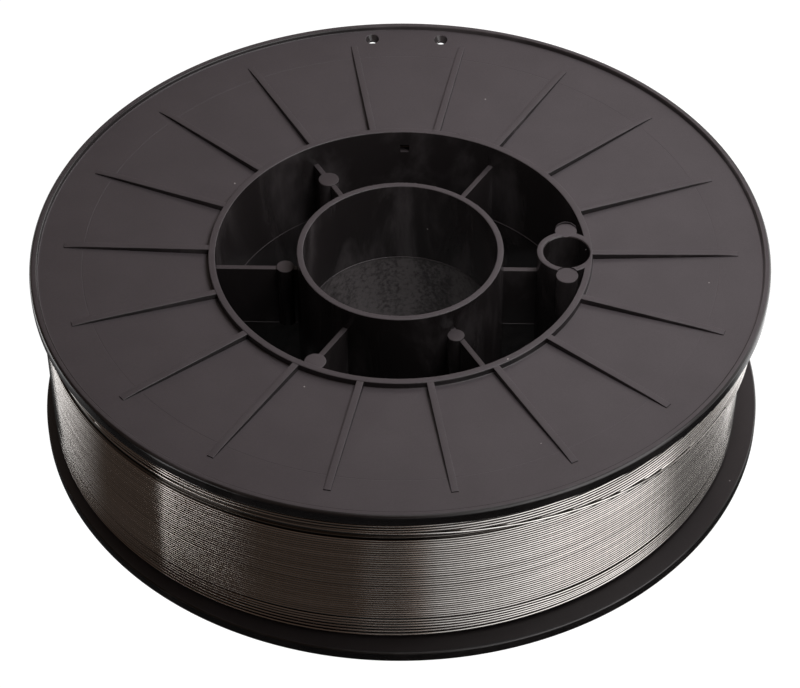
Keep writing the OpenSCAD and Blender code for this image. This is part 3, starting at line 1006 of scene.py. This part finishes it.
# %% White floor
WHITE, OWN_LIGHT = 1.15, 0.9                  # a little above white, so that the floor comes out clean
floor_material = bpy.data.materials.new("white_floor")
floor_material.use_nodes = True
floor_tree = Tree(floor_material.node_tree)
floor_tree.nodes.clear()
lit = floor_tree.node("ShaderNodeBsdfDiffuse", inputs={"Color": (0.8, 0.8, 0.8, 1)})
white = floor_tree.node("ShaderNodeEmission", inputs={"Color": (1, 1, 1, 1), "Strength": WHITE})
seen_white = ray(floor_tree, "Is Camera Ray", "Is Transmission Ray") * OWN_LIGHT
plain = floor_tree.node("ShaderNodeMixShader", inputs={0: seen_white, 1: lit, 2: white})
print("floor nodes for the camera:", len(floor_tree.nodes))

# %% [markdown]
# In reflections the floor is black, with a bright area on the right, one on the left and a white card
# between that one and the front. On the left of the winding a small step round the drum mirrors a long way
# across the floor. So for each spot of the floor the angle on the winding that mirrors it is worked out
# first, and the bright area and the card are laid out by that angle.

# %% Floor in reflections
floor_tree.node("ShaderNodeSeparateXYZ", inputs={0: floor_tree.node("ShaderNodeTexCoord", out="Object")})
floor_x, floor_y = (Socket(floor_tree, floor_tree.last.outputs[i]) for i in (0, 1))
floor_at = azimuth_of(floor_tree, floor_x, floor_y)
floor_r = (floor_x * floor_x + floor_y * floor_y) ** 0.5
far = floor_tree.ramp(floor_r, 0.24, 0.34)
outside = floor_tree.ramp(floor_r, 0.100, 0.110)
right_side = between(floor_tree, floor_at, -50, 0, 4) * far * 0.9
right_back = between(floor_tree, floor_at, -4, 75, 6) * outside * floor_tree.ramp(floor_at, 4, 24, 0.9, 3.0)
right_side = right_side + right_back
WINDING_R = 0.096                             # metres
FAR_TURN, FAR_STRETCH = 58, 0.66              # how the mirrored angle changes out to a spot far away
left_at = azimuth_of(floor_tree, 0 - floor_x, 0 - floor_y) - 180
reach = (1 - WINDING_R / floor_r).do("MAXIMUM", 0)
mirrored_at = (left_at - reach * FAR_TURN) / (1 + reach * FAR_STRETCH)
left_side = floor_tree.ramp(mirrored_at, -142, -159) * floor_tree.ramp(mirrored_at, -176, -161, 0.25, 1.0)
left_side = left_side * floor_tree.ramp(floor_r, 0.11, 0.27)
card_edge = 0.15 + (mirrored_at + 129) * 0.02    # the white card's near edge runs away to the right
white_card = floor_tree.ramp(mirrored_at, -130, -128.5) * floor_tree.ramp(mirrored_at, -110, -119) \
    * floor_tree.ramp(floor_r - card_edge, 0.0, 0.02)
shown = 0.03 + left_side * 3.2 + right_side + white_card * 2.4
cards = floor_tree.node("ShaderNodeEmission", inputs={"Color": (1, 1, 1, 1), "Strength": shown})
both = floor_tree.node("ShaderNodeMixShader",
                       inputs={0: ray(floor_tree, "Is Glossy Ray"), 1: plain, 2: cards})
floor_end = floor_tree.nodes.new("ShaderNodeOutputMaterial")
floor_tree.links.new(both.link, floor_end.inputs[0])
corners = [(-6000, -6000, 0), (6000, -6000, 0), (6000, 6000, 0), (-6000, 6000, 0)]
floor = mesh_from("floor", corners, [[0, 1, 2, 3]])
floor.data.materials.append(floor_material)
print("floor nodes:", len(floor_tree.nodes))

# %% [markdown]
# The rest of the room is painted into the world by direction: `at` is the angle round the spindle and `up`
# the height above the horizon, both in degrees. Besides the two light boxes there are a low strip in front,
# a pale wall on the right, a bright backdrop beyond it and a dim wall at the rear. Dark parts are a little
# brown.

# %% Room in reflections
world = bpy.data.worlds.new("studio")
bpy.context.scene.world = world
world.use_nodes = True
room = Tree(world.node_tree)
room.nodes.clear()
room.node("ShaderNodeSeparateXYZ", inputs={0: room.node("ShaderNodeTexCoord", out="Generated")})
x, y, z = (Socket(room, room.last.outputs[i]) for i in range(3))
at, up = azimuth_of(room, x, y), z.do("ARCSINE") * (180 / math.pi)
tall_box = between(room, at, -80, up * 0.7 - 20, 8) * room.ramp(up, 62, 50)
tall_box = tall_box * room.ramp(at, -88, -38, 0.3, 2.15)          # brighter towards the right
low_strip = between(room, at, -97, -62, 3) * room.ramp(up, 9, 4) * 0.7
top_box = room.ramp(up, 64, 69) * room.ramp(at, -125, -100) * room.ramp(at, 60, -30, 0.3, 1.0) * 1.3
side_wall = between(room, at, -4, 30, 6) * room.ramp(up, 70, 50) * 0.25
backdrop = between(room, at, 26, 60, 4) * room.ramp(up, 50, 30) * 1.6
rear_wall = between(room, at, 60, 140, 20) * room.ramp(up, 75, 30) * 0.12
glare = tall_box + low_strip + top_box + side_wall + backdrop + rear_wall
BROWN, CLEAN, GLOW = (1.0, 0.68, 0.5, 1), (1, 1, 1, 1), 0.085
whiteness = ((glare + side_wall + rear_wall) * 1.8).do("MINIMUM", 1.0)
dim = room.node("ShaderNodeMix", {"data_type": "RGBA"}, {"Factor": whiteness, "A": BROWN, "B": CLEAN}, out=2)
in_metal = room.node("ShaderNodeBackground", inputs={"Color": dim, "Strength": GLOW + glare})
print("nodes of the reflected room:", len(room.nodes))

# %% [markdown]
# The dull plastic is lit by a weak warm fill from the world and by two lamps near the spool, one behind it
# and one above its right side. They stay out of the reflections. Lamps so near make the soft change of tone
# across the disc that a lamp far away can't make.

# %% Plain world
FILL, WARM = 0.05, (1, 0.86, 0.74, 1)
direct = ray(room, "Is Camera Ray", "Is Transmission Ray")
tint = room.node("ShaderNodeMix", {"data_type": "RGBA"}, {"Factor": direct, "A": WARM, "B": CLEAN}, out=2)
plain_room = room.node("ShaderNodeBackground", inputs={
    "Color": tint, "Strength": FILL + direct * (1 - FILL)})
sky = room.node("ShaderNodeMixShader", inputs={0: ray(room, "Is Glossy Ray"), 1: plain_room, 2: in_metal})
world_end = room.nodes.new("ShaderNodeOutputWorld")
room.links.new(sky.link, world_end.inputs[0])
print("nodes of the whole world:", len(room.nodes))

# %% Lamps
def softbox(name, place, size, power, target=(0, 0, 0.03)):
    light = bpy.data.lights.new(name, "AREA")
    light.shape, light.size, light.size_y = "RECTANGLE", size[0], size[1]
    light.energy = power
    obj = new_object(name, light)
    obj.location = place
    way = Vector(target) - Vector(place)
    obj.rotation_euler = way.to_track_quat("-Z", "Y").to_euler()
    obj.visible_glossy = obj.visible_camera = False
    on_floor = power / (math.pi * way.length_squared) / math.pi * -way.z / way.length
    print(name, "lights a level face at the spool's middle at", round(on_floor, 2))


softbox("rear_softbox", (0.10, 0.173, 0.255), (0.14, 0.14), 0.37)
softbox("high_softbox", (0.075, -0.027, 0.255), (0.12, 0.12), 0.43)

# %% [markdown]
# The camera looks down at the spool from 44 degrees above the ground and from 0.77 m away. Its long lens
# keeps the far side of the flange nearly as large as the near side. Its place is worked out from angles,
# because they say more about the view than three coordinates do.

# %% Camera
TURNED = math.radians(1.75)                  # the spool is turned a little against the camera
RAISED, ROLL = math.radians(43.55), math.radians(0.429)
DISTANCE, AIM = 0.768, Vector((-0.25 * MM, 0, 18.25 * MM))
LENS_PX, FRAME_W, SENSOR = 2747, 800, 36.0
camera_data = bpy.data.cameras.new("camera")
camera_data.sensor_width = SENSOR
camera_data.lens = LENS_PX * SENSOR / FRAME_W
camera_data.clip_start, camera_data.clip_end = 0.05, 50
camera = new_object("camera", camera_data)
arm = Vector((0, -math.cos(RAISED), math.sin(RAISED))) * DISTANCE
look = (-arm).to_track_quat("-Z", "Y").to_matrix().to_4x4()
camera.matrix_world = (Matrix.Rotation(TURNED, 4, "Z") @ Matrix.Translation(AIM + arm)
                       @ look @ Matrix.Rotation(-ROLL, 4, "Z"))
bpy.context.scene.camera = camera
bpy.context.scene.view_settings.view_transform = "Standard"
print("camera:", [round(v, 4) for v in camera.matrix_world.translation], "lens", round(camera_data.lens, 2))
